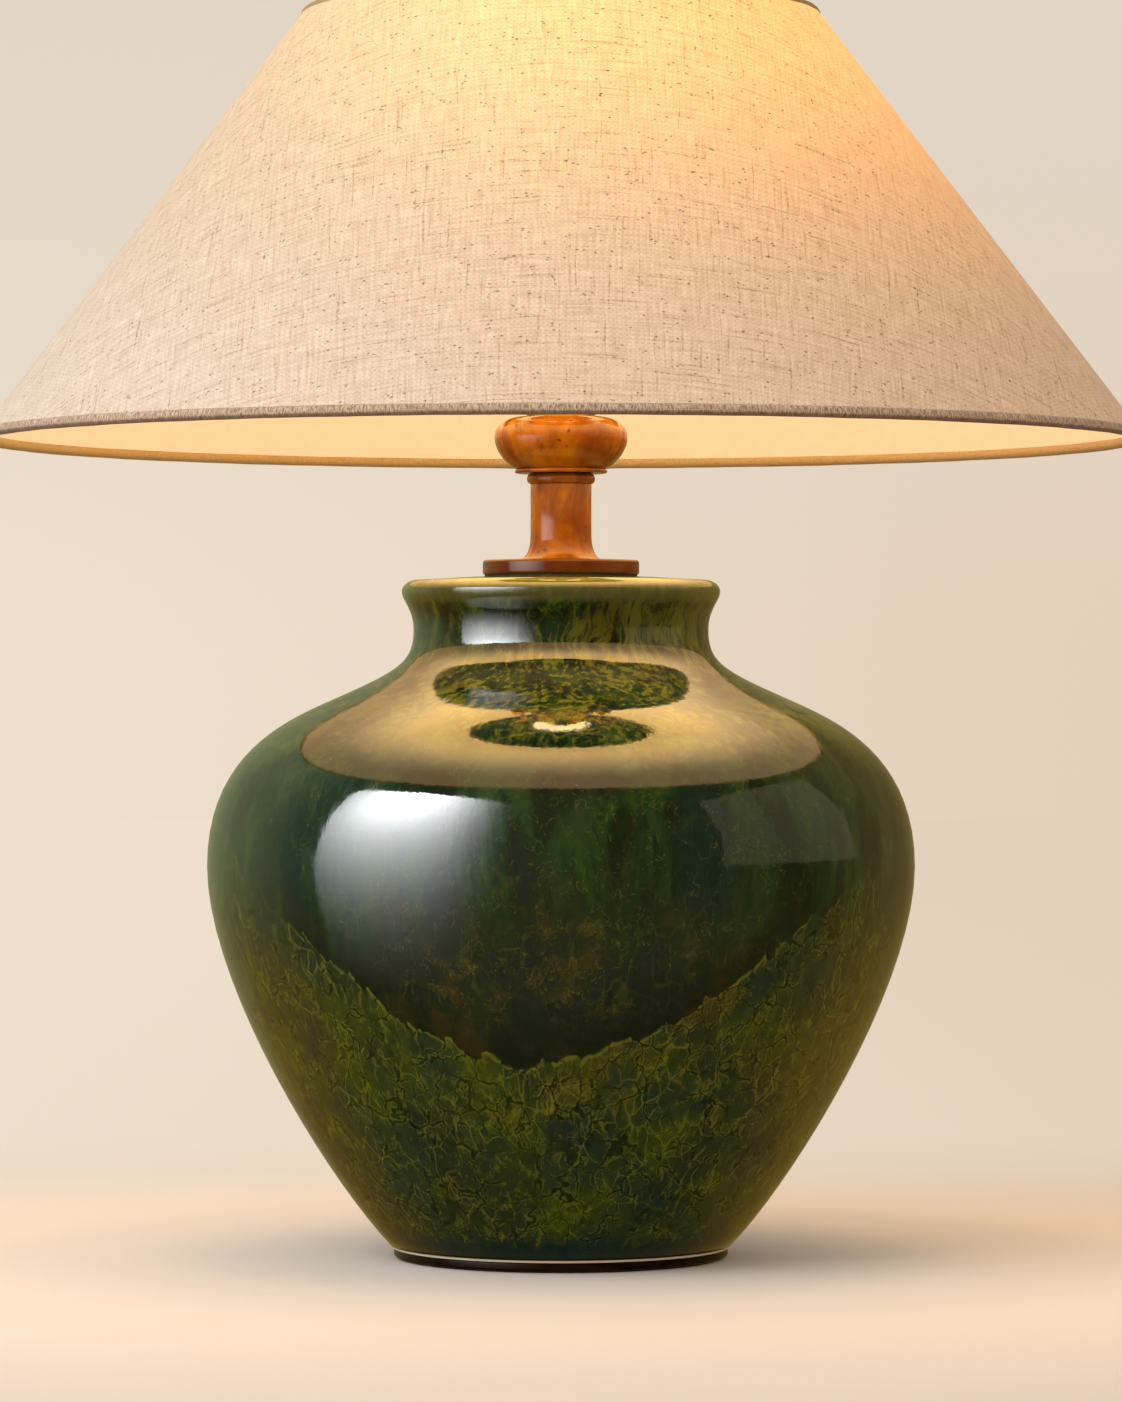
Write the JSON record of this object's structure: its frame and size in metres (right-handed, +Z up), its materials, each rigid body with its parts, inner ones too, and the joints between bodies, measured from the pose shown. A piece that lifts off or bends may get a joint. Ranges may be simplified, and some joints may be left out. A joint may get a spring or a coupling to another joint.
{
  "type": "bedside lamp",
  "caption": "Crackle-glazed jar lamp on a dark foot plate, with a turned wooden neck, a harp, a socket with a turn switch, and a linen coolie shade clamped by a finial.",
  "frame": {"origin": "centre of the felt's underside, on the table", "axes": "+Z up the lamp pipe; -Y is the front, where the switch key points; +Y is the back, where the lead comes out and the linen is lapped; the harp stands in the XZ plane"},
  "size_m": [0.4496, 0.4496, 0.4993],
  "materials": {
    "felt": "matte",
    "dark_wood": "lacquered",
    "glaze": "glossy opaque glaze",
    "rubber": "matte",
    "turned_wood": "satin",
    "brass": "satin",
    "steel": "satin",
    "board": "matte",
    "phenolic": "gloss",
    "opal_glass": "frosted",
    "white_wire": "satin",
    "lining": "matte",
    "linen": "matte",
    "linen_edge": "matte"
  },
  "bodies": {
    "base": {"felt_pad": "felt", "foot_plate": "dark_wood", "jar": "glaze", "cord_grommet": "rubber", "neck_gasket": "felt", "flat_washer": "steel", "lock_washer": "steel", "pipe_nut": "brass", "lamp_pipe": "steel", "neck_column": "turned_wood", "neck_collar": "turned_wood", "neck_knob": "turned_wood", "check_ring": "brass", "harp_saddle": "brass", "harp_wire": "brass", "harp_stud": "brass", "socket_cap": "brass", "set_screw": "steel", "socket_shell": "brass", "socket_liner": "board", "switch_body": "phenolic", "screw_shell": "steel", "centre_contact": "brass", "terminal_screws": "brass"},
    "ferrule_left": {"harp_ferrule_left": "brass"},
    "ferrule_right": {"harp_ferrule_right": "brass"},
    "switch": {"switch_stem": "brass", "switch_key": "phenolic"},
    "bulb_rest": {"bulb_contact": "steel"},
    "bulb": {"bulb_cap": "steel", "bulb_glass": "opal_glass"},
    "shade": {"shade_spider": "white_wire", "shade_bottom_ring": "white_wire", "shade_lining": "lining", "shade_cover": "linen", "shade_top_roll": "linen_edge", "shade_bottom_roll": "linen_edge"},
    "finial_rest": {"finial_bush": "brass"},
    "finial": {"finial_knob": "turned_wood"}
  },
  "joints": [
    {"name": "ferrule_left_lift", "type": "slide", "parent": "base", "child": "ferrule_left", "axis": [0, 0, 1], "range_m": [0, 0.014]},
    {"name": "ferrule_right_lift", "type": "slide", "parent": "base", "child": "ferrule_right", "axis": [0, 0, 1], "range_m": [0, 0.014]},
    {"name": "switch_turn", "type": "hinge", "parent": "base", "child": "switch", "pos_m": [0, -0.03, 0.353], "axis": [0, -1, 0], "continuous": true},
    {"name": "bulb_rise", "type": "slide", "parent": "base", "child": "bulb_rest", "axis": [0, 0, 1], "range_m": [0, 0.01816]},
    {"name": "bulb_turn", "type": "hinge", "parent": "bulb_rest", "child": "bulb", "pos_m": [0, 0, 0.38], "axis": [0, 0, 1], "range_deg": [0, 1800]},
    {"name": "shade_turn", "type": "hinge", "parent": "base", "child": "shade", "pos_m": [0, 0, 0.4705], "axis": [0, 0, 1], "continuous": true},
    {"name": "finial_rise", "type": "slide", "parent": "base", "child": "finial_rest", "axis": [0, 0, 1], "range_m": [0, 0.00942]},
    {"name": "finial_turn", "type": "hinge", "parent": "finial_rest", "child": "finial", "pos_m": [0, 0, 0.478], "axis": [0, 0, 1], "range_deg": [0, 3600]}
  ],
  "couplings": [
    {"joint": "bulb_rise", "follows": "bulb_turn", "m_per_rad": 0.00057757},
    {"joint": "finial_rise", "follows": "finial_turn", "m_per_rad": 0.00014972}
  ]
}
